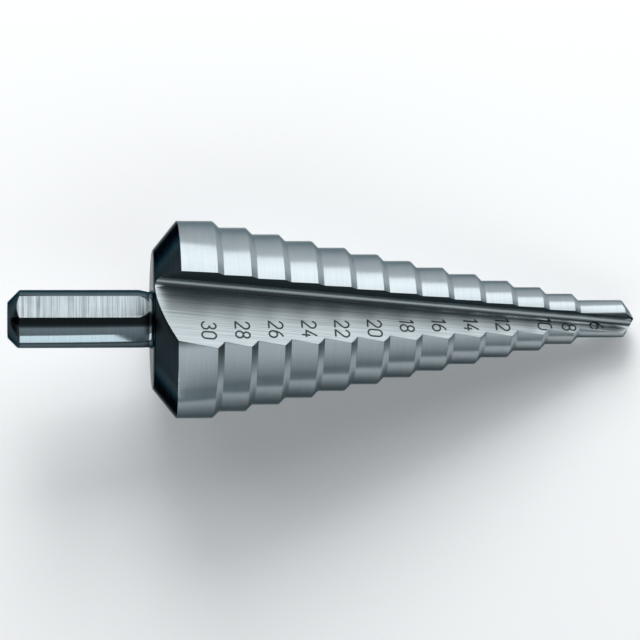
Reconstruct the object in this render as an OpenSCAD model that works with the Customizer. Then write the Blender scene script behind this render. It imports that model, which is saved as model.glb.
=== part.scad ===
// Two-flute step drill with thirteen turned steps and a three-flat shank.
// It lies as it comes to rest on a table: on both edges of the lower flute and on the pilot step.

/* [Shank] */
// Diameter of the shank
shank_d = 9; // [7:0.1:11]
// Length of the shank, from its end to the back face
shank_len = 21.6; // [15:0.1:32]
// Number of flats for the chuck jaws
flat_count = 3; // [2:1:4]
// Depth of each flat below the round of the shank
flat_depth = 0.38; // [0.2:0.01:0.6]
// Turn of the first flat from the flute's side of the drill
flat_turn = 28.2; // [0:0.1:90]
// Length of the chamfer on the shank's end
end_chamfer = 1.8; // [0.5:0.1:2.4]
// Angle of that chamfer from the axis
end_chamfer_angle = 45; // [35:1:55]
// Depth of the tapered neck where the shank meets the back face
neck_depth = 0.3; // [0.1:0.05:0.5]
// Length of the tapered neck
neck_len = 1.4; // [1:0.1:3]
// Fillet between the neck and the back face
neck_fillet = 0.6; // [0.3:0.1:1]

/* [Steps] */
// Number of steps
step_count = 13; // [10:1:15]
// Diameter of the pilot step at the point
pilot_d = 6; // [5:0.5:8]
// Growth in diameter from one step to the next
step_growth = 2; // [1.8:0.1:2.4]
// Distance from one step to the next
step_pitch = 5; // [4:0.1:6.5]
// Angle of the ramp between two steps, from the axis
ramp_angle = 45; // [40:1:60]
// Length of the pilot step's land
pilot_len = 7; // [5:0.1:10]
// Length of the largest step's land
last_len = 5.3; // [4:0.1:8]
// Included angle of the point
point_angle = 118; // [110:1:135]
// Radius of the tiny flat where the point ends
point_flat = 0.1; // [0.05:0.01:0.2]

/* [Point] */
// Relief of the facet ground behind each lip
lip_relief = 10; // [6:1:14]
// Width of that facet
lip_facet = 0.8; // [0.6:0.05:1.2]
// Relief of the facet behind it
back_relief = 30; // [20:1:35]
// Distance from the axis to the bottom of the gash that thins the web, at the tip
gash_clear = 0.3; // [0.25:0.05:0.5]
// Climb of the gash away from the axis
gash_climb = 35; // [30:1:45]
// Angle between the gash's two walls
gash_open = 110; // [95:1:120]

/* [Back] */
// Depth of the turned back cone, from the largest land in to the flat back face
back_cone_depth = 4.55; // [3.5:0.05:4.8]
// Length of the turned back cone
back_cone_len = 3.65; // [2.5:0.05:5]

/* [Flutes] */
// Angle between a flute's cutting face and its back wall
flute_open = 70; // [60:1:85]
// Lean of the cutting face from the flute's mid plane
face_lean = 15; // [10:1:20]
// Radius at the bottom of a flute
flute_root = 1; // [0.8:0.1:1.8]
// Climb of a flute's bottom away from the axis, towards the shank
flute_climb = 6.58; // [5:0.02:8]
// Drift of a flute's bottom to the side, towards the shank
flute_drift = 4.94; // [4:0.02:6]
// Depth of a flute's sharp bottom line past the axis, at the point
tip_depth = 0.13; // [0:0.01:0.6]
// Distance of that line ahead of the axis, at the point
tip_ahead = 0.39; // [0.2:0.01:0.7]

/* [Relief] */
// Offset of the ground lands from the axis, which clears them behind the cutting edges
relief = 0.35; // [0.1:0.05:0.6]
// Direction of that offset, measured like the flutes
relief_turn = 35; // [25:1:45]

/* [Hidden] */
$fn = 96;

steel = [0.72, 0.74, 0.75];
margin = 3; // Overlap of a cut past what it cuts
root_bite = 12; // Angle at which a flute's rounded bottom runs into its walls
turn_start = -12; // Where a turned surface starts and ends, just outside the half that is kept

// Shank
shank_r = shank_d/2;
flat_r = shank_r - flat_depth;
neck_r = shank_r - neck_depth;
end_r = shank_r - end_chamfer*tan(end_chamfer_angle);

// Places along the axis, from the shank's end
largest_d = pilot_d + (step_count - 1)*step_growth;
largest_r = largest_d/2;
back_face_r = largest_r - back_cone_depth;
ramp_rise = step_growth/2;
ramp_len = ramp_rise/tan(ramp_angle);
cone_end = shank_len + back_cone_len;
first_corner = cone_end + last_len;
pilot_start = first_corner + (step_count - 2)*step_pitch + ramp_len;
pilot_corner = pilot_start + pilot_len;
point_len = (pilot_d/2 - point_flat)/tan(point_angle/2);
tip = pilot_corner + point_len;
sharp_tip = tip + point_flat/tan(point_angle/2); // Where the point's cone would end unblunted

// Turned steps: corner k ends step k, counted from the largest
function step_r(k) = largest_r - k*ramp_rise;
function corner(k) = k == step_count - 1 ? pilot_corner : first_corner + k*step_pitch;

// A flute's two walls, as unit normals in the section (up, side)
face_normal = [cos(face_lean - 90), sin(face_lean - 90)];
wall_turn = face_lean - flute_open + 90;
wall_normal = [cos(wall_turn), sin(wall_turn)];
reach = 2*largest_r;

// Sharp bottom line of a flute at a place x along the axis, as (up, side)
function flute_line(x) = [
    (tip - x)*tan(flute_climb) - tip_depth,
    (tip - x)*tan(flute_drift) - tip_ahead
];

// Points where a wall leaves a land of radius r at x, on the offset circle of the ground land
land_turn = [cos(relief_turn), sin(relief_turn)];
function on_circle(normal, side, x, r, middle) =
    let (d = normal*(flute_line(x) - middle))
    let (half = sqrt((r - relief)^2 - d*d))
    middle + d*normal + side*half*[-normal[1], normal[0]];
function edge_point(x, r) = on_circle(face_normal, 1, x, r, relief*land_turn);
function heel_point(x, r) = on_circle(wall_normal, -1, x, r, -relief*land_turn);

// Rest: both flute edges of the largest step touch, and then the first point of the taper
edge_0 = edge_point(first_corner, largest_r);
heel_0 = heel_point(first_corner, largest_r);
span = edge_0 - heel_0;
base_normal = [span[1], -span[0]]/norm(span);
base_height = base_normal*edge_0;
function slope(point, x) = (base_height - base_normal*point)/(x - first_corner);
slopes = [
    for (k = [1 : step_count - 1])
        for (point = [edge_point(corner(k), step_r(k)), heel_point(corner(k), step_r(k))])
            slope(point, corner(k))
];
rest_slope = min(min(slopes), slope([0, 0], tip));
slant = sqrt(1 + rest_slope^2);

// Axes of the resting drill, seen from the drill: up, along and across
rest_up = [-rest_slope, base_normal[1], base_normal[0]]/slant;
level = [1, 0, 0] - rest_up[0]*rest_up;
rest_along = level/norm(level);
rest_across = cross(rest_up, rest_along);
rest_height = (rest_slope*first_corner + base_height)/slant;
low_end = -end_r*norm([rest_along[1], rest_along[2]]);
rest_middle = (tip*rest_along[0] + low_end)/2;

// Turns a profile of (place along the axis, radius) round the drill's axis
module turned() {
    rotate([turn_start, 0, 0])
        rotate([0, 90, 0])
            rotate_extrude()
                rotate(90)
                    mirror([0, 1])
                        children();
}

// Outline of the steps, run on past both ends for the ground envelope to cut
module step_outline() {
    corners = [
        for (k = [0 : step_count - 1])
            for (end = [0, 1])
                [k == 0 && end == 0 ? shank_len - margin
                    : end == 0 ? corner(k - 1) + ramp_len
                    : k == step_count - 1 ? tip + margin
                    : corner(k),
                 step_r(k) - relief]
    ];
    polygon(concat([[shank_len - margin, 0]], corners, [[tip + margin, 0]]));
}

// Back face, back cone and point, all turned true to the axis
module envelope_outline() {
    cone_slope = back_cone_depth/back_cone_len;
    wide_r = largest_r + margin;
    polygon([
        [shank_len, 0],
        [shank_len, back_face_r],
        [cone_end + margin/cone_slope, wide_r],
        [tip - (wide_r - point_flat)/tan(point_angle/2), wide_r],
        [tip, point_flat],
        [tip, 0]
    ]);
}

// Half of the stepped cone, turned about the offset centre of its ground land
module ground_land() {
    intersection() {
        translate([0, relief*land_turn[1], relief*land_turn[0]])
            turned() step_outline();
        translate([0, 0, -reach])
            cube([tip + reach, reach, 2*reach]);
    }
}

// Both halves, with the back and the point turned true
module stepped_cone() {
    intersection() {
        union() {
            ground_land();
            rotate([180, 0, 0]) ground_land();
        }
        turned() envelope_outline();
    }
}

// Sweeps a section, drawn as (up, side) from a flute's sharp bottom line, along that line
module along_flute() {
    run = tip/cos(flute_climb)/cos(flute_drift);
    translate([tip, -tip_ahead, -tip_depth])
        rotate([0, flute_climb, -flute_drift])
            rotate([0, -90, 0])
                translate([0, 0, -margin])
                    linear_extrude(run + margin) children();
}

// Cutting face and back wall of a flute, down to where its rounded bottom begins
module flute_walls() {
    touch = flute_root*cos(root_bite)/tan(flute_open/2);
    face_end = [cos(face_lean), sin(face_lean)];
    wall_end = [cos(face_lean - flute_open), sin(face_lean - flute_open)];
    along_flute()
        polygon([touch*face_end, reach*face_end, reach*wall_end, touch*wall_end]);
}

// Rounded bottom of a flute, which both walls run into
module flute_bottom() {
    middle_turn = face_lean - flute_open/2;
    middle_reach = flute_root*cos(root_bite)/sin(flute_open/2);
    along_flute()
        translate(middle_reach*[cos(middle_turn), sin(middle_turn)])
            circle(flute_root);
}

// Everything in front of a flat facet whose lip runs out from the axis at the point's angle
module above_facet(relief_angle) {
    rotate([0, point_angle/2 - 90, 0])
        rotate([0, 0, relief_angle])
            translate([0, -reach, -reach])
                cube(2*reach);
}

// The two facets ground behind a lip
module lip_facets() {
    drop = lip_facet*tan(lip_relief)/sin(point_angle/2);
    translate([sharp_tip, 0, 0])
        rotate([-face_lean, 0, 0]) {
            above_facet(lip_relief);
            translate([-drop, lip_facet, 0]) above_facet(back_relief);
        }
}

// Gash that thins the web at the point, on the middle line of a flute
module gash() {
    face_end = reach*[cos(flute_open/2), sin(flute_open/2)];
    back_end = reach*[cos(flute_open/2 - gash_open), sin(flute_open/2 - gash_open)];
    translate([tip, 0, 0])
        rotate([flute_open/2 - face_lean, 0, 0])
            translate([0, 0, gash_clear])
                rotate([0, gash_climb, 0])
                    rotate([0, -90, 0])
                        translate([0, 0, -margin])
                            linear_extrude(reach) polygon([[0, 0], face_end, back_end]);
}

// Chuck shank, with its chamfer, flats, neck and fillet
module shank() {
    neck_start = shank_len - neck_fillet - neck_len;
    fillet_start = shank_len - neck_fillet;
    difference() {
        turned() {
            polygon([
                [0, 0],
                [0, end_r],
                [end_chamfer, shank_r],
                [neck_start, shank_r],
                [fillet_start, neck_r],
                [shank_len + margin, neck_r],
                [shank_len + margin, 0]
            ]);
        }
        for (k = [0 : flat_count - 1])
            rotate([-flat_turn - k*360/flat_count, 0, 0])
                translate([-margin, -shank_d, flat_r])
                    cube([fillet_start + margin, 2*shank_d, shank_d]);
    }
    turned() {
        difference() {
            translate([fillet_start, 0])
                square([neck_fillet + margin, neck_r + neck_fillet]);
            translate([fillet_start, neck_r + neck_fillet])
                circle(neck_fillet);
        }
    }
}

// The drill along the X axis, with one flute up
module drill() {
    difference() {
        stepped_cone();
        for (turn = [0, 180])
            rotate([turn, 0, 0]) {
                flute_walls();
                flute_bottom();
                lip_facets();
                gash();
            }
    }
    shank();
}

module step_drill() {
    color(steel)
        translate([-rest_middle, 0, rest_height])
            multmatrix([rest_along, rest_across, rest_up])
                drill();
}

step_drill();
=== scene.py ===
import math
from collections import Counter

import bmesh
import bpy
from mathutils import Euler, Matrix, Vector


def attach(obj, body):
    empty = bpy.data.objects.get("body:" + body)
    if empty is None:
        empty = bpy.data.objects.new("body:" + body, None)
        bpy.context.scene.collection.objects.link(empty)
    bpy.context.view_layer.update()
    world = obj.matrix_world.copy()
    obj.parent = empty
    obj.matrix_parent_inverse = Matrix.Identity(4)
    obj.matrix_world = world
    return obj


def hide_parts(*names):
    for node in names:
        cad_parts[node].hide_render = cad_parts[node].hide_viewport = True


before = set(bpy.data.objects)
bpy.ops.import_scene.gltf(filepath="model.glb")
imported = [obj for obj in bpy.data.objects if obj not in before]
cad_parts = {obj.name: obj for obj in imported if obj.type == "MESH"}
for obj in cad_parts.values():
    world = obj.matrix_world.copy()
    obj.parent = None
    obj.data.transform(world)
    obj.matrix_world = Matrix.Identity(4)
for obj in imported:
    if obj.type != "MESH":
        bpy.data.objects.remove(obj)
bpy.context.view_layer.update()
print("frame loaded")

scene = bpy.context.scene
mm = 0.001


def linearColor(hexCode):
    parts = [int(hexCode[i:i + 2], 16)/255 for i in (1, 3, 5)]
    return tuple(c/12.92 if c <= 0.04045 else ((c + 0.055)/1.055)**2.4 for c in parts) + (1,)


def addNode(tree, kind, settings=None, links=None):
    node = tree.nodes.new(kind)
    for name, value in (settings or {}).items():
        setattr(node, name, value)
    for name, value in (links or {}).items():
        if isinstance(value, bpy.types.NodeSocket):
            tree.links.new(value, node.inputs[name])
        else:
            node.inputs[name].default_value = value
    return node


def newObject(name, mesh):
    thing = bpy.data.objects.new(name, mesh)
    scene.collection.objects.link(thing)
    return thing


def newPiece(name, points, edges=(), faces=()):
    mesh = bpy.data.meshes.new(name)
    mesh.from_pydata(points, edges, faces)
    return newObject(name, mesh)


def newTree(name, inputs):
    tree = bpy.data.node_groups.new(name, "GeometryNodeTree")
    tree.interface.new_socket("Geometry", in_out="OUTPUT", socket_type="NodeSocketGeometry")
    for label, kind in inputs:
        tree.interface.new_socket(label, in_out="INPUT", socket_type="NodeSocket" + kind)
    return tree


def runTree(thing, tree, values):
    modifier = thing.modifiers.new(tree.name, "NODES")
    modifier.node_group = tree
    for item in tree.interface.items_tree:
        if item.in_out == "INPUT" and item.name in values:
            modifier[item.identifier] = values[item.name]


def settle(thing, name, weldGap=0):
    # the evaluated shape as a plain mesh, without empty material slots or slivers, its faces outwards
    bpy.context.view_layer.update()
    shape = thing.evaluated_get(bpy.context.evaluated_depsgraph_get())
    mesh = bpy.data.meshes.new_from_object(shape)
    bpy.data.objects.remove(thing)
    for i in reversed(range(len(mesh.materials))):
        if mesh.materials[i] is None:
            mesh.materials.pop(index=i)
    work = bmesh.new()
    work.from_mesh(mesh)
    if weldGap:
        bmesh.ops.remove_doubles(work, verts=work.verts, dist=weldGap)
    bmesh.ops.recalc_face_normals(work, faces=work.faces)
    work.to_mesh(mesh)
    work.free()
    return newObject(name, mesh)


# Sizes of the drill in millimetres, in its own frame: X along the axis, Y to the side, Z up
shank = {
    "diameter": 9, "length": 21.6, "flatCount": 3, "flatDepth": 0.38, "flatTurn": 28.2,
    "endChamfer": 1.8, "neckDepth": 0.3, "neckLength": 1.4, "neckFillet": 0.6, "filletSteps": 8,
    "sink": 0.002,  # the fillet ends this far inside the back face, so the two bodies join cleanly
    "segments": 192,
}
steps = {
    "count": 13, "pilot": 6, "growth": 2, "pitch": 5, "rampLength": 1, "pilotLength": 7,
    "lastLength": 5.3, "pointAngle": 118, "pointFlat": 0.1, "relief": 0.35, "reliefTurn": 35,
    "edgeBreak": 0.06, "segments": 300,
}
back = {"coneDepth": 4.55, "coneLength": 3.65}
flute = {
    "open": 70, "lean": 15, "root": 1, "rootBite": 12, "climb": 6.58, "drift": 4.94,
    "tipDepth": 0.13, "tipAhead": 0.39, "count": 2, "rootPoints": 25, "overrun": 1.02,
}
facets = {
    "lipRelief": 10, "lipWidth": 0.8, "backRelief": 30,
    "gashClear": 0.3, "gashClimb": 35, "gashOpen": 110,
}
margin = 3  # a cut runs this far past what it cuts
mergeGap = 1e-4  # points closer than this are one
sharpAngle = 24  # edges that turn more than this stay crisp, in degrees

shankRadius = shank["diameter"]/2
flatRadius = shankRadius - shank["flatDepth"]
neckRadius = shankRadius - shank["neckDepth"]
endRadius = shankRadius - shank["endChamfer"]
filletStart = shank["length"] - shank["neckFillet"]
largestRadius = (steps["pilot"] + (steps["count"] - 1)*steps["growth"])/2
rise = steps["growth"]/2
coneEnd = shank["length"] + back["coneLength"]
firstCorner = coneEnd + steps["lastLength"]
pilotStart = firstCorner + (steps["count"] - 2)*steps["pitch"] + steps["rampLength"]
pilotCorner = pilotStart + steps["pilotLength"]
halfPoint = math.radians(steps["pointAngle"]/2)
tip = pilotCorner + (steps["pilot"]/2 - steps["pointFlat"])/math.tan(halfPoint)
faceTurn = math.radians(flute["lean"])
wallTurn = math.radians(flute["lean"] - flute["open"])
climb = math.tan(math.radians(flute["climb"]))
drift = math.tan(math.radians(flute["drift"]))
reliefTurn = math.radians(steps["reliefTurn"])


def stepRadius(k):
    return largestRadius - k*rise


def cornerAt(k):
    return pilotCorner if k == steps["count"] - 1 else firstCorner + k*steps["pitch"]


# How it rests: both edges of the lower flute touch, and so does the first point of the taper.
# Points here are (up, side) in the section at a place along the axis.
def fluteLine(x):
    return Vector(((tip - x)*climb - flute["tipDepth"], (tip - x)*drift - flute["tipAhead"]))


def wallMeetsLand(turn, sign, k):
    normal = Vector((math.cos(turn), math.sin(turn)))
    middle = Vector((math.cos(reliefTurn), math.sin(reliefTurn)))*steps["relief"]*sign
    away = normal.dot(fluteLine(cornerAt(k)) - middle)
    half = math.sqrt((stepRadius(k) - steps["relief"])**2 - away**2)
    return middle + normal*away + sign*half*Vector((-normal.y, normal.x))


def edgeAndHeel(k):
    return wallMeetsLand(faceTurn - math.pi/2, 1, k), wallMeetsLand(wallTurn + math.pi/2, -1, k)


def restMatrix():
    edge, heel = edgeAndHeel(0)
    span = (edge - heel).normalized()
    down = Vector((span.y, -span.x))
    height = down.dot(edge)
    slopes = [height/(tip - firstCorner)]
    for k in range(1, steps["count"]):
        slopes += [(height - down.dot(point))/(cornerAt(k) - firstCorner) for point in edgeAndHeel(k)]
    slope = min(slopes)
    slant = math.sqrt(1 + slope**2)
    up = Vector((-slope, down.y, down.x))/slant
    along = (Vector((1, 0, 0)) - up.x*up).normalized()
    across = up.cross(along)
    middle = (tip*along.x - endRadius*math.hypot(along.y, along.z))/2
    turn = Matrix((along, across, up)).to_4x4()
    return Matrix.Scale(mm, 4) @ Matrix.Translation((-middle, 0, (slope*firstCorner + height)/slant)) @ turn


rest = restMatrix()
restTurn = rest.to_3x3().normalized()
axisWay = restTurn @ Vector((1, 0, 0))
print("rest place worked out")


# Profiles as (place along the axis, radius)
def stepProfile():
    size = steps["edgeBreak"]
    slant = size*math.sqrt(0.5)
    points = [(shank["length"] - margin, 0), (shank["length"] - margin, largestRadius)]
    for k in range(steps["count"] - 1):
        corner, foot = cornerAt(k), cornerAt(k) + steps["rampLength"]
        top, low = stepRadius(k), stepRadius(k + 1)
        points += [(corner - size, top), (corner + slant, top - slant)]
        points += [(foot - slant, low + slant), (foot + size, low)]
    return points + [(tip + margin, steps["pilot"]/2), (tip + margin, 0)]


def envelopeProfile():
    wide = largestRadius + margin
    size = steps["edgeBreak"]
    slope = back["coneDepth"]/back["coneLength"]
    backRadius = largestRadius - back["coneDepth"]
    return [
        (shank["length"], 0), (shank["length"], backRadius - size),
        (shank["length"] + size, backRadius + size*slope), (coneEnd + margin/slope, wide),
        (tip - (wide - steps["pointFlat"])/math.tan(halfPoint), wide), (tip, steps["pointFlat"]), (tip, 0),
    ]


def shankProfile():
    size = steps["edgeBreak"]
    slant = size*math.sqrt(0.5)
    fillet = shank["neckFillet"]
    points = [
        (0, 0), (0, endRadius - size), (slant, endRadius + slant),
        (shank["endChamfer"] - slant, shankRadius - slant), (shank["endChamfer"] + size, shankRadius),
        (filletStart - shank["neckLength"], shankRadius),
    ]
    for i in range(shank["filletSteps"] + 1):
        turn = math.pi/2*i/shank["filletSteps"]
        place = filletStart + shank["sink"] + fillet*math.sin(turn)
        points.append((place, neckRadius + fillet*(1 - math.cos(turn))))
    return points + [(shank["length"] + margin, neckRadius + fillet), (shank["length"] + margin, 0)]


# Sections of the cutters: the flute's is a V with a round bottom, drawn at its sharp bottom line
def fluteSection():
    bite = math.radians(flute["rootBite"])
    reach = 2*largestRadius
    middleTurn = (faceTurn + wallTurn)/2
    away = flute["root"]*math.cos(bite)/math.sin(math.radians(flute["open"]/2))
    middle = away*Vector((math.cos(middleTurn), math.sin(middleTurn)))
    arc = []
    first, last = wallTurn - math.pi/2 + bite, faceTurn + math.pi/2 - math.tau - bite
    for i in range(flute["rootPoints"]):
        turn = first + (last - first)*i/(flute["rootPoints"] - 1)
        arc.append(middle + flute["root"]*Vector((math.cos(turn), math.sin(turn))))
    far = [reach*Vector((math.cos(turn), math.sin(turn))) for turn in (faceTurn, wallTurn)]
    return arc + far


def turnBy(*angles):
    return Euler([math.radians(angle) for angle in angles]).to_matrix().to_4x4()


alongFlute = (Matrix.Translation((tip, -flute["tipAhead"], -flute["tipDepth"]))
              @ turnBy(0, flute["climb"], -flute["drift"]) @ turnBy(0, -90, 0))


# The point: two flat facets behind each lip, and a notch that thins its middle
def facetPlane(spot, relief):
    apex = tip + steps["pointFlat"]/math.tan(halfPoint)
    return (Matrix.Translation((apex, 0, 0)) @ turnBy(-flute["lean"], 0, 0) @ Matrix.Translation(spot)
            @ turnBy(0, steps["pointAngle"]/2 - 90, 0) @ turnBy(0, 0, relief) @ turnBy(0, 90, 0))


def facetSection():
    reach = 2*largestRadius
    return [reach*Vector(corner) for corner in ((-1, -1), (1, -1), (1, 1), (-1, 1))]


def alongGash():
    return (Matrix.Translation((tip, 0, 0)) @ turnBy(flute["open"]/2 - flute["lean"], 0, 0)
            @ Matrix.Translation((0, 0, facets["gashClear"])) @ turnBy(0, facets["gashClimb"] - 90, 0)
            @ Matrix.Translation((0, 0, -margin)))


def gashSection():
    turns = [math.radians(flute["open"]/2), math.radians(flute["open"]/2 - facets["gashOpen"])]
    return [Vector((0, 0))] + [2*largestRadius*Vector((math.cos(turn), math.sin(turn))) for turn in turns]


# Turns a profile round the axis. With relief, each half is turned about a centre set off to its own side.
def latheTree():
    tree = newTree("lathe", [("Profile", "Geometry"), ("Segments", "Int"), ("Relief", "Float"),
                             ("Relief Turn", "Float"), ("Material", "Material")])
    given = addNode(tree, "NodeGroupInput").outputs
    stations = addNode(tree, "GeometryNodeAttributeDomainSize", None, {0: given["Profile"]}).outputs[0]
    spans = addNode(tree, "ShaderNodeMath", {"operation": "SUBTRACT"}, {0: stations, 1: 1}).outputs[0]
    columns = addNode(tree, "ShaderNodeMath", {"operation": "ADD"}, {
        0: given["Segments"], 1: 1}).outputs[0]
    grid = addNode(tree, "GeometryNodeMeshGrid", None, {
        "Size X": spans, "Size Y": math.tau, "Vertices X": stations, "Vertices Y": columns}).outputs[0]
    place = addNode(tree, "GeometryNodeInputPosition").outputs[0]
    spot = addNode(tree, "ShaderNodeSeparateXYZ", None, {0: place}).outputs
    ring = addNode(tree, "ShaderNodeMath", {"operation": "MULTIPLY_ADD"}, {
        0: spans, 1: 0.5, 2: spot["X"]}).outputs[0]
    ringIndex = addNode(tree, "FunctionNodeFloatToInt", None, {0: ring}).outputs[0]
    station = addNode(tree, "GeometryNodeSampleIndex", {"data_type": "FLOAT_VECTOR"}, {
        "Geometry": given["Profile"], "Value": place, "Index": ringIndex}).outputs[0]
    drawn = addNode(tree, "ShaderNodeSeparateXYZ", None, {0: station}).outputs
    turn = addNode(tree, "ShaderNodeMath", {"operation": "ADD"}, {0: spot["Y"], 1: math.pi}).outputs[0]

    ownTurn = addNode(tree, "ShaderNodeMath", {"operation": "FLOORED_MODULO"}, {
        0: turn, 1: math.pi}).outputs[0]
    offTurn = addNode(tree, "ShaderNodeMath", {"operation": "SUBTRACT"}, {
        0: ownTurn, 1: given["Relief Turn"]}).outputs[0]
    cosine = addNode(tree, "ShaderNodeMath", {"operation": "COSINE"}, {0: offTurn}).outputs[0]
    sine = addNode(tree, "ShaderNodeMath", {"operation": "SINE"}, {0: offTurn}).outputs[0]
    toward = addNode(tree, "ShaderNodeMath", {"operation": "MULTIPLY"}, {
        0: cosine, 1: given["Relief"]}).outputs[0]
    aside = addNode(tree, "ShaderNodeMath", {"operation": "MULTIPLY"}, {
        0: sine, 1: given["Relief"]}).outputs[0]
    ground = addNode(tree, "ShaderNodeMath", {"operation": "SUBTRACT"}, {
        0: drawn["Y"], 1: given["Relief"]}).outputs[0]
    asideSquare = addNode(tree, "ShaderNodeMath", {"operation": "MULTIPLY"}, {
        0: aside, 1: aside}).outputs[0]
    groundSquare = addNode(tree, "ShaderNodeMath", {"operation": "MULTIPLY"}, {
        0: ground, 1: ground}).outputs[0]
    left = addNode(tree, "ShaderNodeMath", {"operation": "SUBTRACT"}, {
        0: groundSquare, 1: asideSquare}).outputs[0]
    root = addNode(tree, "ShaderNodeMath", {"operation": "SQRT"}, {0: left}).outputs[0]
    reach = addNode(tree, "ShaderNodeMath", {"operation": "ADD"}, {0: toward, 1: root}).outputs[0]
    offAxis = addNode(tree, "ShaderNodeMath", {"operation": "GREATER_THAN"}, {
        0: drawn["Y"], 1: 0}).outputs[0]
    radius = addNode(tree, "ShaderNodeMath", {"operation": "MULTIPLY"}, {0: reach, 1: offAxis}).outputs[0]

    up = addNode(tree, "ShaderNodeMath", {"operation": "COSINE"}, {0: turn}).outputs[0]
    side = addNode(tree, "ShaderNodeMath", {"operation": "SINE"}, {0: turn}).outputs[0]
    flat = addNode(tree, "ShaderNodeCombineXYZ", None, {1: side, 2: up}).outputs[0]
    outward = addNode(tree, "ShaderNodeVectorMath", {"operation": "SCALE"}, {
        0: flat, "Scale": radius}).outputs[0]
    onAxis = addNode(tree, "ShaderNodeCombineXYZ", None, {0: drawn["X"]}).outputs[0]
    target = addNode(tree, "ShaderNodeVectorMath", {"operation": "ADD"}, {
        0: outward, 1: onAxis}).outputs[0]
    turned = addNode(tree, "GeometryNodeSetPosition", None, {
        "Geometry": grid, "Position": target}).outputs[0]
    closed = addNode(tree, "GeometryNodeMergeByDistance", None, {
        "Geometry": turned, "Distance": mergeGap}).outputs[0]
    smooth = addNode(tree, "GeometryNodeSetShadeSmooth", None, {"Geometry": closed}).outputs[0]
    real = addNode(tree, "GeometryNodeRealizeInstances", None, {0: smooth}).outputs[0]
    painted = addNode(tree, "GeometryNodeSetMaterial", None, {
        "Geometry": real, "Material": given["Material"]}).outputs[0]
    addNode(tree, "NodeGroupOutput", None, {0: painted})
    return tree


def repeatRound(tree, given, shape):
    # ends a tree: the shape is repeated round the axis, made real and given its material
    spots = addNode(tree, "GeometryNodeMeshLine", None, {
        "Count": given["Count"], "Offset": (0, 0, 0)}).outputs[0]
    order = addNode(tree, "GeometryNodeInputIndex").outputs[0]
    turn = addNode(tree, "ShaderNodeMath", {"operation": "MULTIPLY"}, {
        0: order, 1: given["Turn Step"]}).outputs[0]
    way = addNode(tree, "ShaderNodeCombineXYZ", None, {0: turn}).outputs[0]
    around = addNode(tree, "GeometryNodeInstanceOnPoints", None, {
        "Points": spots, "Instance": shape, "Rotation": way}).outputs[0]
    real = addNode(tree, "GeometryNodeRealizeInstances", None, {0: around}).outputs[0]
    painted = addNode(tree, "GeometryNodeSetMaterial", None, {
        "Geometry": real, "Material": given["Material"]}).outputs[0]
    addNode(tree, "NodeGroupOutput", None, {0: painted})
    return tree


# Runs a flat section along a straight line and repeats it round the axis
def cutterTree():
    tree = newTree("cutters", [("Section", "Geometry"), ("Run", "Vector"), ("Count", "Int"),
                               ("Turn Step", "Float"), ("Material", "Material")])
    given = addNode(tree, "NodeGroupInput").outputs
    swept = addNode(tree, "GeometryNodeExtrudeMesh", None, {
        "Mesh": given["Section"], "Offset": given["Run"],
        "Offset Scale": 1, "Individual": False}).outputs[0]
    ends = addNode(tree, "GeometryNodeJoinGeometry", None, {0: swept})
    tree.links.new(given["Section"], ends.inputs[0])
    closed = addNode(tree, "GeometryNodeMergeByDistance", None, {
        "Geometry": ends.outputs[0], "Distance": mergeGap}).outputs[0]
    return repeatRound(tree, given, closed)


# Materials
def newMaterial(name):
    material = bpy.data.materials.new(name)
    material.use_nodes = True
    material.node_tree.nodes.clear()
    return material, material.node_tree


noiseSpan = (0.3, 0.7)  # nearly all of a noise texture lies between these


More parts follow.
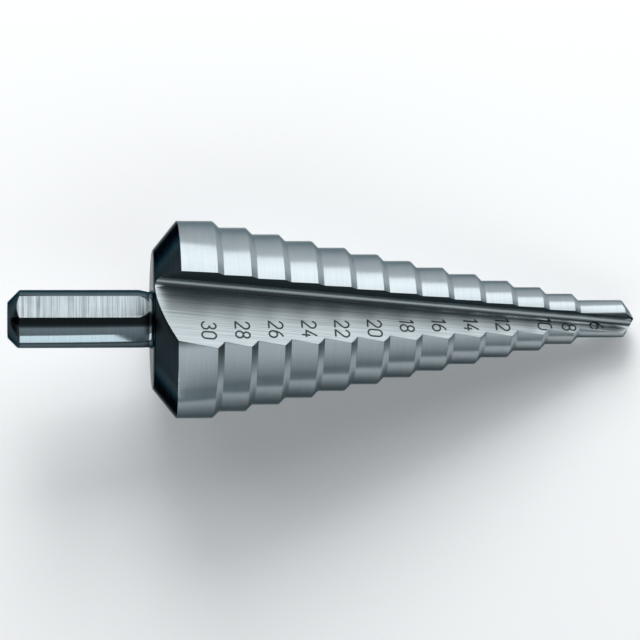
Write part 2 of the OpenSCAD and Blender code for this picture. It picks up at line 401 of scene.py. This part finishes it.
def toolSteel(name, look):
    # Hardened high-speed steel, turned or ground: a bright face whose fine lines run one way, so a
    # highlight stays crisp along the lines and spreads across them. Real lines are a few hundredths of a
    # millimetre apart and would not show here, so they are drawn coarser.
    material, tree = newMaterial(name)
    place = addNode(tree, "ShaderNodeAttribute", {"attribute_name": look["pattern"]}).outputs["Vector"]
    lines = addNode(tree, "ShaderNodeMapping", None, {
        0: place, "Scale": [1/size for size in look["grainSize"]]}).outputs[0]
    grain = addNode(tree, "ShaderNodeTexNoise", None, {
        "Vector": lines, "Scale": 1, "Detail": 3, "Roughness": 0.6}).outputs[0]
    clouds = addNode(tree, "ShaderNodeTexNoise", None, {
        "Vector": place, "Scale": 1/look["cloudSize"], "Detail": 2}).outputs[0]
    both = addNode(tree, "ShaderNodeMix", {"data_type": "FLOAT"}, {
        0: look["cloudShare"], 2: grain, 3: clouds}).outputs[0]
    color = addNode(tree, "ShaderNodeValToRGB", None, {0: both})
    ramp = color.color_ramp
    ramp.elements[0].position, ramp.elements[0].color = noiseSpan[0], linearColor(look["dark"])
    ramp.elements[1].position, ramp.elements[1].color = noiseSpan[1], linearColor(look["light"])
    rough = addNode(tree, "ShaderNodeMapRange", None, {
        0: both, 1: noiseSpan[0], 2: noiseSpan[1],
        3: look["roughness"][0], 4: look["roughness"][1]}).outputs[0]
    steel = color.outputs[0]
    if look["pattern"] == "flutePlace":
        # the cutting face is painted darker: painted shade for the dark it mirrors. The wheel's rim leaves
        # the bottom smooth
        spot = addNode(tree, "ShaderNodeSeparateXYZ", None, {0: place}).outputs
        face = addNode(tree, "ShaderNodeMapRange", {"interpolation_type": "SMOOTHSTEP"}, {
            0: spot["Y"], 1: look["faceShadeFrom"][0], 2: look["faceShadeFrom"][1], 3: 0, 4: 1}).outputs[0]
        steel = addNode(tree, "ShaderNodeMix", {"data_type": "RGBA"}, {
            "Factor": face, 6: steel, 7: linearColor(look["face"])}).outputs[2]
        flat = addNode(tree, "ShaderNodeCombineXYZ", None, {1: spot["Y"], 2: spot["Z"]}).outputs[0]
        away = addNode(tree, "ShaderNodeVectorMath", {"operation": "LENGTH"}, {0: flat}).outputs["Value"]
        dull = addNode(tree, "ShaderNodeMapRange", {"interpolation_type": "SMOOTHSTEP"}, {
            0: away, 1: look["root"][0], 2: look["root"][1], 3: look["rootShine"], 4: 1}).outputs[0]
        rough = addNode(tree, "ShaderNodeMath", {"operation": "MULTIPLY"}, {0: rough, 1: dull}).outputs[0]
    edge = addNode(tree, "ShaderNodeBevel", {"samples": 6}, {"Radius": look["edgeRound"]*mm}).outputs[0]
    bump = addNode(tree, "ShaderNodeBump", None, {
        "Height": grain, "Strength": look["bump"],
        "Distance": look["lineDepth"]*mm, "Normal": edge}).outputs[0]
    along = addNode(tree, "ShaderNodeCombineXYZ", None, dict(enumerate(axisWay))).outputs[0]
    shader = addNode(tree, "ShaderNodeBsdfPrincipled", None, {
        "Base Color": steel, "Metallic": 1, "Roughness": rough,
        "Specular Tint": linearColor(look["glance"]), "Anisotropic": look["stretch"],
        "Anisotropic Rotation": look["turn"], "Tangent": along, "Normal": bump})
    addNode(tree, "ShaderNodeOutputMaterial", None, {"Surface": shader.outputs[0]})
    return material


# Sizes in millimetres, turns as shares of a full turn
looks = {
    # lands, ramps and point, cylinder ground: lines run round the drill, so the shine is a soft band
    "land": {
        "made": "cylinderGround", "pattern": "drillPlace", "grainSize": (0.11, 9, 9),
        "cloudSize": 4, "cloudShare": 0.35, "dark": "#949da1", "light": "#a2aaad",
        "roughness": (0.17, 0.22), "edgeRound": 0.05, "bump": 0.15, "lineDepth": 0.004,
        "stretch": 0.75, "turn": 0, "glance": "#98a4a9",
    },
    # flutes, ground lengthways: lines run along the flute, so light spreads across its satin wall
    "flute": {
        "made": "fluteGround", "pattern": "flutePlace", "grainSize": (20, 0.19, 0.19),
        "cloudSize": 6, "cloudShare": 0.15, "dark": "#7f898d", "light": "#b2babd",
        "roughness": (0.3, 0.4), "edgeRound": 0.04, "bump": 0.3, "lineDepth": 0.005,
        "stretch": 0.8, "turn": 0.25, "glance": "#98a4a9",
        # the cutting face's colour is painted shade, darker so that it reads as the dark it mirrors
        "face": "#5b676c", "faceShadeFrom": (0.1, 0.5), "root": (1.1, 2.0), "rootShine": 0.7,
    },
    # back cone and back face, turned and not ground; their steel colours are made dark as painted shade, so
    # what they mirror reads dark
    "back": {
        "made": "turned", "pattern": "drillPlace", "grainSize": (0.2, 6, 6),
        "cloudSize": 3, "cloudShare": 0.3, "dark": "#454d51", "light": "#535b5f",
        "roughness": (0.16, 0.22), "edgeRound": 0.05, "bump": 0.2, "lineDepth": 0.004,
        "stretch": 0.4, "turn": 0, "glance": "#6b7377",
    },
    # shank, polished and smooth, so it mirrors the room sharply; its steel colours are made dark as painted
    # shade, so what it mirrors reads dark
    "shank": {
        "made": "polished", "pattern": "drillPlace", "grainSize": (0.12, 9, 9),
        "cloudSize": 5, "cloudShare": 0.3, "dark": "#566167", "light": "#626d72",
        "roughness": (0.1, 0.14), "edgeRound": 0.05, "bump": 0.1, "lineDepth": 0.003,
        "stretch": 0.6, "turn": 0, "glance": "#7a868b",
    },
    # jaw flats, ground straight across: coarse streaks that catch the light one by one
    "flat": {
        "made": "surfaceGround", "pattern": "drillPlace", "grainSize": (0.22, 12, 12),
        "cloudSize": 2, "cloudShare": 0.15, "dark": "#5c666a", "light": "#a3abae",
        "roughness": (0.24, 0.34), "edgeRound": 0.04, "bump": 0.35, "lineDepth": 0.005,
        "stretch": 0.7, "turn": 0, "glance": "#98a4a9",
    },
}
finish = {name: toolSteel(look["made"] + "Steel", look) for name, look in looks.items()}
print("materials made")


# The drill: turned bodies, then the flutes and flats cut out of them
lathe = latheTree()
cutters = cutterTree()


def turned(name, profile, segments, relief, material):
    points = [(x, radius, 0) for x, radius in profile]
    thing = newPiece(name, points, [(i, i + 1) for i in range(len(points) - 1)])
    runTree(thing, lathe, {"Segments": segments, "Relief": float(relief), "Relief Turn": reliefTurn,
                           "Material": material})
    return settle(thing, name)


def cut(name, section, run, count, turnStep, material):
    thing = newPiece(name, section, (), [list(range(len(section)))])
    runTree(thing, cutters, {"Run": run, "Count": count, "Turn Step": turnStep, "Material": material})
    return settle(thing, name)


def groundOut(name, frameAlong, section, length, look):
    points = [frameAlong @ Vector((point.x, point.y, 0)) for point in section]
    run = frameAlong.to_3x3() @ Vector((0, 0, length))
    return cut(name, points, run, flute["count"], math.tau/flute["count"], finish[look])


def join(thing, operation, tool):
    modifier = thing.modifiers.new(tool.name, "BOOLEAN")
    modifier.operation = operation
    modifier.solver = "EXACT"
    modifier.material_mode = "TRANSFER"
    modifier.object = tool


def makeShank():
    body = turned("shank", shankProfile(), shank["segments"], 0, finish["shank"])
    turn = Euler((-math.radians(shank["flatTurn"]), 0, 0)).to_matrix()
    wide = shank["diameter"]
    sides = ((-wide, flatRadius), (wide, flatRadius), (wide, wide), (-wide, wide))
    corners = [turn @ Vector((-margin, y, z)) for y, z in sides]
    flats = cut("flats", corners, (filletStart + margin, 0, 0),
                shank["flatCount"], -math.tau/shank["flatCount"], finish["flat"])
    join(body, "DIFFERENCE", flats)
    body = settle(body, "shank", mergeGap)
    bpy.data.objects.remove(flats)
    return body


def makeDrill():
    envelope = turned("envelope", envelopeProfile(), steps["segments"], 0, finish["back"])
    stages = [("INTERSECT", envelope), ("UNION", makeShank())]
    drop = facets["lipWidth"]*math.tan(math.radians(facets["lipRelief"]))/math.sin(halfPoint)
    lip = facetPlane((0, 0, 0), facets["lipRelief"])
    behind = facetPlane((-drop, facets["lipWidth"], 0), facets["backRelief"])
    for name, place, section, length, look in [
            ("flute", alongFlute @ Matrix.Translation((0, 0, -margin)), fluteSection(),
             tip*flute["overrun"] + margin, "flute"),
            ("gash", alongGash(), gashSection(), 2*largestRadius, "flute"),
            ("lipFacet", lip, facetSection(), 2*largestRadius, "land"),
            ("backFacet", behind, facetSection(), 2*largestRadius, "land")]:
        stages.append(("DIFFERENCE", groundOut(name, place, section, length, look)))
    body = turned("steps", stepProfile(), steps["segments"], steps["relief"], finish["land"])
    for operation, tool in stages:
        join(body, operation, tool)
        body = settle(body, "drill", mergeGap)
        print(operation.lower(), tool.name, len(body.data.polygons), "faces")
        bpy.data.objects.remove(tool)
    return body


drill = makeDrill()
mesh = drill.data

# Two attributes hold where a point is: on the drill, and from the bottom line of its own flute
places = [vertex.co.copy() for vertex in mesh.vertices]
fluteMiddle = Vector((math.cos((faceTurn + wallTurn)/2), math.sin((faceTurn + wallTurn)/2)))
onDrill = mesh.attributes.new("drillPlace", "FLOAT_VECTOR", "POINT")
onFlute = mesh.attributes.new("flutePlace", "FLOAT_VECTOR", "POINT")
for i, place in enumerate(places):
    sign = math.copysign(1, place.z*fluteMiddle.x + place.y*fluteMiddle.y)
    line = fluteLine(place.x)
    onDrill.data[i].vector = place
    onFlute.data[i].vector = (place.x, sign*place.y - line.y, sign*place.z - line.x)

mesh.transform(rest)
mesh.shade_smooth()
mesh.set_sharp_from_angle(angle=math.radians(sharpAngle))
# The long sides of a jaw flat meet the shank at a little less than that angle, and they are crisp too
flatSlot = mesh.materials.find(finish["flat"].name)
flatFaces = [face for face in mesh.polygons if face.material_index == flatSlot]
flatEdges = Counter(key for face in flatFaces for key in face.edge_keys)
for edge in mesh.edges:
    first, last = (places[i] for i in edge.vertices)
    if flatEdges[edge.key] == 1 and (last - first).yz.length < mergeGap:
        edge.use_edge_sharp = True
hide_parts("step_drill")
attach(drill, "root")


# Step sizes marked on the long wall of each flute, every numeral drawn as strokes of a round-ended tool
numerals = {
    "height": 2.1, "width": 1.16, "gap": 0.5, "stroke": 0.27, "stand": 0.016,
    "back": 1.26, "backOf": {10: -0.4, 8: 0.74, 6: 4.25}, "start": 10.28, "slide": 0.1168,
    "inset": {8: 1.1, 6: 0.95}, "clear": 0.2, "sides": 12, "rings": 6, "spacing": 0.09, "arcStep": 12,
}
# How the digits are drawn: bows by radius, the 4 as shares of the width, turns in degrees
digits = {
    "topBow": 0.49, "lowBow": 0.56, "oneWidth": 0.4, "oneHook": 0.42, "twoTurns": (170, -38),
    "threeShift": 0.03, "threeTop": 0.09, "threeTurn": 160,
    "fourTop": 0.68, "fourWidth": 0.95, "fourStem": 0.7, "fourStemTop": 1.05,
    "sixBow": 0.6, "sixTurn": 108, "eightTop": 0.08,
}


def bow(middle, size, first, last):
    count = max(2, round(abs(last - first)/numerals["arcStep"]))
    turns = [math.radians(first + (last - first)*i/count) for i in range(count + 1)]
    return [(middle[0] + size[0]*math.cos(turn), middle[1] + size[1]*math.sin(turn)) for turn in turns]


def digitStrokes(digit):
    high, wide = numerals["height"], numerals["width"]
    half = wide/2
    topBow, lowBow = digits["topBow"], digits["lowBow"]
    if digit == "0":
        loop = bow((half, high - half), (half, half), 0, 180) + bow((half, half), (half, half), 180, 360)
        return wide, [loop + loop[:1]]
    if digit == "1":
        stem = digits["oneWidth"]
        return stem, [[(0, high - digits["oneHook"]), (stem, high), (stem, 0)]]
    if digit == "2":
        return wide, [bow((half, high - half), (half, half), *digits["twoTurns"]) + [(0, 0), (wide, 0)]]
    if digit == "3":
        shift, turn = digits["threeShift"], digits["threeTurn"]
        top = bow((half - shift, high - topBow), (half - digits["threeTop"], topBow), turn, -90)
        return wide, [top + bow((half - shift, lowBow), (half + shift, lowBow), 90, -turn)]
    if digit == "4":
        right, stem = digits["fourWidth"]*wide, digits["fourStem"]*wide
        bar = [(digits["fourTop"]*wide, high), (0, lowBow), (right, lowBow)]
        return right, [bar, [(stem, digits["fourStemTop"]), (stem, 0)]]
    if digit == "6":
        low = digits["sixBow"]
        stem = bow((wide, low), (wide, high - low), digits["sixTurn"], 180)
        return wide, [stem + bow((half, low), (half, low), 180, 540)]
    top = bow((half, high - topBow), (half - digits["eightTop"], topBow), -90, 270)
    return wide, [top, bow((half, lowBow), (half, lowBow), 90, 450)]


def wallPoint(x, across):
    # on the long wall, by the place along the drill and the distance from the flute's bottom line
    up, side = fluteLine(x) + across*Vector((math.cos(wallTurn), math.sin(wallTurn)))
    return Vector((x, side, up))


wallDown = wallPoint(0, 1) - wallPoint(0, 0)
wallAlong = wallPoint(1, 0) - wallPoint(0, 0)


def onWall(x, across):
    k = max(0, math.ceil((x - firstCorner)/steps["pitch"])) if x < pilotStart else steps["count"] - 1
    below = stepRadius(k - 1) - (x - cornerAt(k - 1)) if k else 0
    radius = max(stepRadius(k), below)
    spot = wallPoint(x, across)
    middle = -steps["relief"]*Vector((math.cos(reliefTurn), math.sin(reliefTurn)))
    return (Vector((spot.z, spot.y)) - middle).length < radius - steps["relief"] - numerals["clear"]


def drawStroke(stroke, pen, middle, points, edges):
    # leaves out what would run past the edge of the wall
    lean = wallDown.dot(wallAlong)
    stretch = (wallAlong - lean*wallDown).length
    path = [stroke[0]]
    for start, end in zip(stroke, stroke[1:]):
        pieces = max(1, math.ceil(math.dist(start, end)/numerals["spacing"]))
        path += [(start[0] + (end[0] - start[0])*i/pieces, start[1] + (end[1] - start[1])*i/pieces)
                 for i in range(1, pieces + 1)]
    drawing = False
    for across, up in path:
        x = middle + up - numerals["height"]/2
        if not onWall(x, pen + across):
            drawing = False
            continue
        points.append((pen + across + lean*x, stretch*x, 0))
        if drawing:
            edges.append((len(points) - 2, len(points) - 1))
        drawing = True


def numeralLines():
    points, edges = [], []
    for k in range(steps["count"]):
        size = steps["pilot"] + (steps["count"] - 1 - k)*steps["growth"]
        middle = cornerAt(k) - numerals["backOf"].get(size, numerals["back"])
        pen = numerals["start"] - numerals["slide"]*middle + numerals["stroke"]/2
        pen += numerals["inset"].get(size, 0)
        for digit in str(size):
            wide, strokes = digitStrokes(digit)
            for stroke in strokes:
                drawStroke(stroke, pen, middle, points, edges)
            pen += wide + numerals["gap"]
    return points, edges


# Sweeps a round pen along the lines, rounds the ends, presses it flat and lays it on the wall of each
# flute, up the round of its bottom too
def strokeTree():
    tree = newTree("strokes", [
        ("Lines", "Geometry"), ("Pen Radius", "Float"), ("Press", "Vector"), ("Sides", "Int"),
        ("Rings", "Int"), ("Lean", "Float"), ("Root Radius", "Float"), ("Root Middle", "Float"),
        ("Root Height", "Float"), ("Root End", "Float"), ("Place", "Vector"), ("Turn", "Vector"),
        ("Count", "Int"), ("Turn Step", "Float"), ("Material", "Material")])
    given = addNode(tree, "NodeGroupInput").outputs
    curves = addNode(tree, "GeometryNodeMeshToCurve", None, {0: given["Lines"]}).outputs[0]
    pen = addNode(tree, "GeometryNodeCurvePrimitiveCircle", None, {
        "Resolution": given["Sides"], "Radius": given["Pen Radius"]}).outputs[0]
    tube = addNode(tree, "GeometryNodeCurveToMesh", None, {
        "Curve": curves, "Profile Curve": pen, "Fill Caps": True}).outputs[0]
    ends = addNode(tree, "GeometryNodeCurveEndpointSelection").outputs[0]
    ball = addNode(tree, "GeometryNodeMeshUVSphere", None, {
        "Segments": given["Sides"], "Rings": given["Rings"], "Radius": given["Pen Radius"]}).outputs[0]
    balls = addNode(tree, "GeometryNodeInstanceOnPoints", None, {
        "Points": curves, "Selection": ends, "Instance": ball}).outputs[0]
    both = addNode(tree, "GeometryNodeJoinGeometry", None, {0: tube})
    tree.links.new(balls, both.inputs[0])
    solid = addNode(tree, "GeometryNodeRealizeInstances", None, {0: both.outputs[0]}).outputs[0]
    pressed = addNode(tree, "GeometryNodeTransform", None, {
        "Geometry": solid, "Scale": given["Press"]}).outputs[0]
    place = addNode(tree, "GeometryNodeInputPosition").outputs[0]
    spot = addNode(tree, "ShaderNodeSeparateXYZ", None, {0: place}).outputs
    slid = addNode(tree, "ShaderNodeMath", {"operation": "MULTIPLY"}, {
        0: spot["Y"], 1: given["Lean"]}).outputs[0]
    across = addNode(tree, "ShaderNodeMath", {"operation": "SUBTRACT"}, {
        0: spot["X"], 1: slid}).outputs[0]
    inward = addNode(tree, "ShaderNodeMath", {"operation": "SUBTRACT"}, {
        0: given["Root Middle"], 1: across}).outputs[0]
    inRoot = addNode(tree, "ShaderNodeMath", {"operation": "MAXIMUM"}, {
        0: inward, 1: given["Root End"]}).outputs[0]
    inSquare = addNode(tree, "ShaderNodeMath", {"operation": "MULTIPLY"}, {
        0: inRoot, 1: inRoot}).outputs[0]
    rootSquare = addNode(tree, "ShaderNodeMath", {"operation": "MULTIPLY"}, {
        0: given["Root Radius"], 1: given["Root Radius"]}).outputs[0]
    left = addNode(tree, "ShaderNodeMath", {"operation": "SUBTRACT"}, {
        0: rootSquare, 1: inSquare}).outputs[0]
    fall = addNode(tree, "ShaderNodeMath", {"operation": "SQRT"}, {0: left}).outputs[0]
    lift = addNode(tree, "ShaderNodeMath", {"operation": "SUBTRACT"}, {
        0: given["Root Height"], 1: fall}).outputs[0]
    offset = addNode(tree, "ShaderNodeCombineXYZ", None, {2: lift}).outputs[0]
    lying = addNode(tree, "GeometryNodeSetPosition", None, {
        "Geometry": pressed, "Offset": offset}).outputs[0]
    placed = addNode(tree, "GeometryNodeTransform", None, {
        "Geometry": lying, "Translation": given["Place"], "Rotation": given["Turn"]}).outputs[0]
    return repeatRound(tree, given, placed)


mark = {"dark": "#161e21", "light": "#323d41", "burnSize": 0.25, "metallic": 0.3, "roughness": 0.55}
laserMark, tree = newMaterial("laserMark")
# Steel darkened by a marking laser: a near-black oxide skin, matt, with a little uneven burn.
spot = addNode(tree, "ShaderNodeTexCoord").outputs["Object"]
burn = addNode(tree, "ShaderNodeTexNoise", None, {
    "Vector": spot, "Scale": 1/(mark["burnSize"]*mm), "Detail": 2}).outputs[0]
skin = addNode(tree, "ShaderNodeValToRGB", None, {0: burn})
skin.color_ramp.elements[0].color = linearColor(mark["dark"])
skin.color_ramp.elements[1].color = linearColor(mark["light"])
shader = addNode(tree, "ShaderNodeBsdfPrincipled", None, {
    "Base Color": skin.outputs[0], "Metallic": mark["metallic"], "Roughness": mark["roughness"]})
addNode(tree, "ShaderNodeOutputMaterial", None, {"Surface": shader.outputs[0]})


def markNumerals():
    points, edges = numeralLines()
    thing = newPiece("numeralLines", points, edges)
    top = (wallAlong - wallDown.dot(wallAlong)*wallDown).normalized()
    turn = Matrix((wallDown, top, wallDown.cross(top))).transposed().to_euler()
    radius = numerals["stroke"]/2
    bite = math.radians(flute["rootBite"])
    rootHeight = flute["root"]*math.cos(bite)
    runTree(thing, strokeTree(), {
        "Lean": wallDown.dot(wallAlong)/wallAlong.dot(top), "Root Radius": float(flute["root"]),
        "Root Height": rootHeight, "Root Middle": rootHeight/math.tan(math.radians(flute["open"]/2)),
        "Root End": -flute["root"]*math.sin(bite),
        "Pen Radius": radius, "Press": (1, 1, numerals["stand"]/radius), "Sides": numerals["sides"],
        "Rings": numerals["rings"],
        "Place": wallPoint(0, 0), "Turn": turn, "Count": flute["count"],
        "Turn Step": math.tau/flute["count"], "Material": laserMark})
    marks = settle(thing, "numerals")
    marks.data.transform(rest)
    marks.data.shade_smooth()
    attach(marks, "root")
    print("numerals marked", len(marks.data.polygons))


markNumerals()


# Stage: a sheet of white card on a grey table
stage = {
    "card": (-62, 78, -62, 200), "table": (-700, 700, -700, 200), "gap": 0.5,
    "cardColor": "#f2f3f4", "tableColor": "#8b979c", "cardGlow": 0.06,
}
cardMaterial, tree = newMaterial("mattCard")
# Matt white card: no gloss, an even tone that takes a soft shadow. Part of its white is a plain glow,
# which the camera and the steel both see, so the shadow stays pale.
paper = addNode(tree, "ShaderNodeBsdfPrincipled", None, {
    "Base Color": linearColor(stage["cardColor"]), "Roughness": 0.9, "Specular IOR Level": 0.1}).outputs[0]
glow = addNode(tree, "ShaderNodeEmission", None, {"Color": (1, 1, 1, 1), "Strength": 1}).outputs[0]
rays = addNode(tree, "ShaderNodeLightPath").outputs
seen = addNode(tree, "ShaderNodeMath", {"operation": "ADD"}, {
    0: rays["Is Camera Ray"], 1: rays["Is Glossy Ray"]}).outputs[0]
seenAny = addNode(tree, "ShaderNodeMath", {"operation": "ADD", "use_clamp": True}, {
    0: seen, 1: rays["Is Transmission Ray"]}).outputs[0]
glowShare = addNode(tree, "ShaderNodeMath", {"operation": "MULTIPLY"}, {
    0: seenAny, 1: stage["cardGlow"]}).outputs[0]
cardLook = addNode(tree, "ShaderNodeMixShader", None, {0: glowShare, 1: paper, 2: glow}).outputs[0]
addNode(tree, "ShaderNodeOutputMaterial", None, {"Surface": cardLook})

tableMaterial, tree = newMaterial("mattTable")
# Painted table top: grey and matt, so the steel finds something darker beyond the card.
paint = addNode(tree, "ShaderNodeBsdfPrincipled", None, {
    "Base Color": linearColor(stage["tableColor"]), "Roughness": 0.8, "Specular IOR Level": 0.2}).outputs[0]
addNode(tree, "ShaderNodeOutputMaterial", None, {"Surface": paint})


def sheet(name, spread, height, material):
    left, right, near, far = [size*mm for size in spread]
    corners = [(x, y, height*mm) for x, y in ((left, near), (right, near), (right, far), (left, far))]
    thing = newPiece(name, corners, (), [(0, 1, 2, 3)])
    thing.data.materials.append(material)


sheet("card", stage["card"], 0, cardMaterial)
sheet("table", stage["table"], -stage["gap"], tableMaterial)
print("stage set")

# One large soft lamp from the far side lights the card. The steel mirrors the world instead.
lamp = {"angle": 59, "distance": 700, "size": 320, "power": 3.9}
lampData = bpy.data.lights.new("softLamp", "AREA")
lampData.shape = "SQUARE"
lampData.size = lamp["size"]*mm
lampData.energy = lamp["power"]
softLamp = newObject("softLamp", lampData)
lampTurn = Euler((-math.radians(lamp["angle"]), 0, 0)).to_matrix().to_4x4()
softLamp.matrix_world = lampTurn @ Matrix.Translation((0, 0, lamp["distance"]*mm))
softLamp.visible_glossy = False

# A strip lamp beside the shank draws the one bright line along it. It stands so close that the steps hardly
# mirror it, and neither the card nor the camera sees it.
strip = {"middle": (-42, -40, 26), "aim": (-42, 0, 17), "length": 38, "height": 24, "power": 0.0125}
stripData = bpy.data.lights.new("stripLamp", "AREA")
stripData.shape = "RECTANGLE"
stripData.size = strip["length"]*mm
stripData.size_y = strip["height"]*mm
stripData.energy = strip["power"]
stripLamp = newObject("stripLamp", stripData)
stripLamp.visible_diffuse = False
stripLamp.visible_camera = False
stripWay = Vector(strip["middle"]) - Vector(strip["aim"])
stripTurn = stripWay.to_track_quat("Z", "Y").to_matrix().to_4x4()
stripLamp.matrix_world = Matrix.Translation(Vector(strip["middle"])*mm) @ stripTurn
print("lamps placed")

# World: bright bands low on both sides of the drill, dark and a little cool above and at both ends
studio = {
    "level": 2.5, "coolness": (0.12, 0.04, 0), "endStart": 0.55, "endStop": 0.95, "endLevel": 0.03,
    "bands": [
        (-180, 0.05), (-125, 0.06), (-100, 0.12), (-86, 0.19), (-72, 0.28), (-57, 0.38), (-36, 0.46),
        (-28, 0.08), (-18, 0.03), (0, 0.03), (20, 0.04), (29, 0.1), (36, 0.85), (57, 0.92), (75, 1.0),
        (90, 0.95), (102, 0.85), (120, 0.4), (180, 0.05),
    ],
}
world = bpy.data.worlds.new("studio")
scene.world = world
world.use_nodes = True
tree = world.node_tree
tree.nodes.clear()
way = addNode(tree, "ShaderNodeTexCoord").outputs["Generated"]
parts = addNode(tree, "ShaderNodeSeparateXYZ", None, {0: way}).outputs
around = addNode(tree, "ShaderNodeMath", {"operation": "ARCTAN2"}, {
    0: parts["Y"], 1: parts["Z"]}).outputs[0]
share = addNode(tree, "ShaderNodeMapRange", None, {
    0: around, 1: -math.pi, 2: math.pi, 3: 0, 4: 1}).outputs[0]
bands = addNode(tree, "ShaderNodeValToRGB", None, {0: share})
ramp = bands.color_ramp
while len(ramp.elements) < len(studio["bands"]):
    ramp.elements.new(0.5)
for element, (angle, bright) in zip(ramp.elements, studio["bands"]):
    element.position = (angle + 180)/360
    element.color = [bright*(1 - cool*(1 - bright)) for cool in studio["coolness"]] + [1]
endways = addNode(tree, "ShaderNodeMath", {"operation": "ABSOLUTE"}, {0: parts["X"]}).outputs[0]
fade = addNode(tree, "ShaderNodeMapRange", {"interpolation_type": "SMOOTHSTEP"}, {
    0: endways, 1: studio["endStop"], 2: studio["endStart"], 3: studio["endLevel"], 4: 1}).outputs[0]
level = addNode(tree, "ShaderNodeMath", {"operation": "MULTIPLY"}, {
    0: fade, 1: studio["level"]}).outputs[0]
glow = addNode(tree, "ShaderNodeBackground", None, {
    "Color": bands.outputs[0], "Strength": level}).outputs[0]
addNode(tree, "ShaderNodeOutputWorld", None, {"Surface": glow})


# Camera, placed in the drill's own frame and carried with it to its rest place
view = {
    "from": (3.55, -0.093, 383.777), "way": (0.112405, 0, -0.993662), "up": (0.002168, 1, 0),
    "lens": 143.57, "sensor": 36,
}
cameraData = bpy.data.cameras.new("camera")
cameraData.lens = view["lens"]
cameraData.sensor_width = view["sensor"]
camera = newObject("camera", cameraData)
backward = -(restTurn @ Vector(view["way"]))
right = (restTurn @ Vector(view["up"])).cross(backward).normalized()
upward = backward.cross(right)
cameraTurn = Matrix((right, upward, backward)).transposed().to_4x4()
camera.matrix_world = Matrix.Translation(rest @ Vector(view["from"])) @ cameraTurn
scene.camera = camera
scene.view_settings.view_transform = "Standard"
print("camera placed")
